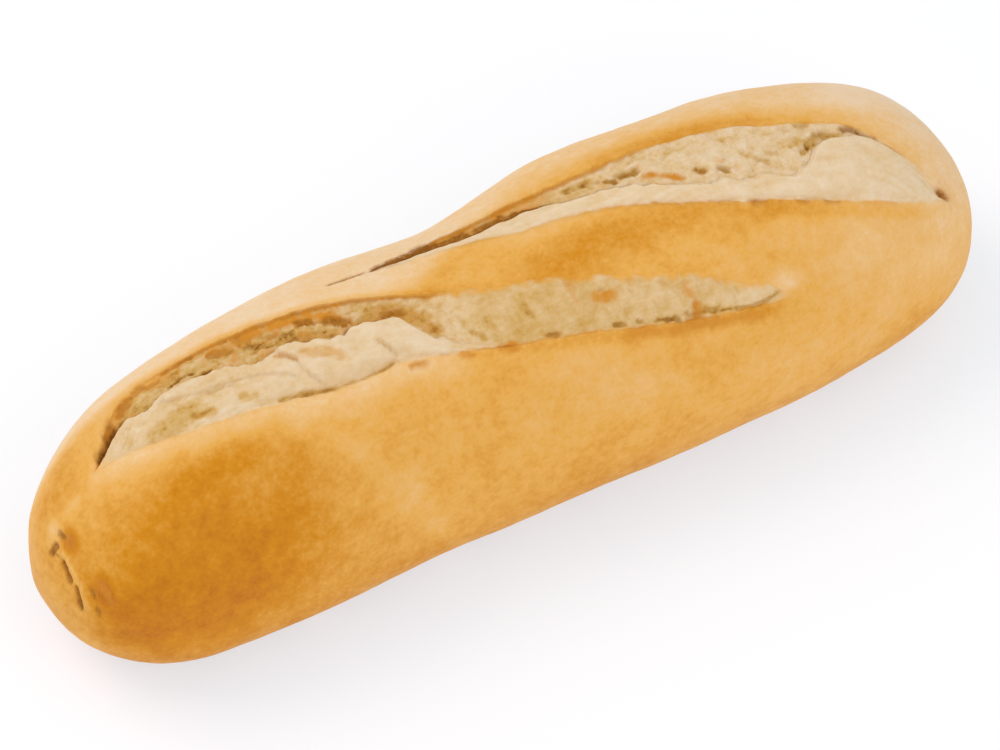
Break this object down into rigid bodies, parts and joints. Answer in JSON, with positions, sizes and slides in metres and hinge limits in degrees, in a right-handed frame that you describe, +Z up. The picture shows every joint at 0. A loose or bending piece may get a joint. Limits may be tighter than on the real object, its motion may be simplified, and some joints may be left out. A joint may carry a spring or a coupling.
{
  "type": "baguette",
  "caption": "Short baguette baked as one crusty loaf with rounded ends, a flat base and long overlapping scores along its top.",
  "frame": {"origin": "centre of the bounding box, on the flat base", "axes": "+X along the loaf, to the end where the back score runs out; +Z up; -Y the front, where the front score comes down the side"},
  "size_m": [0.235, 0.0732, 0.0573],
  "materials": {
    "crust": "matte"
  },
  "bodies": {
    "root": {"loaf": "crust"}
  },
  "joints": []
}
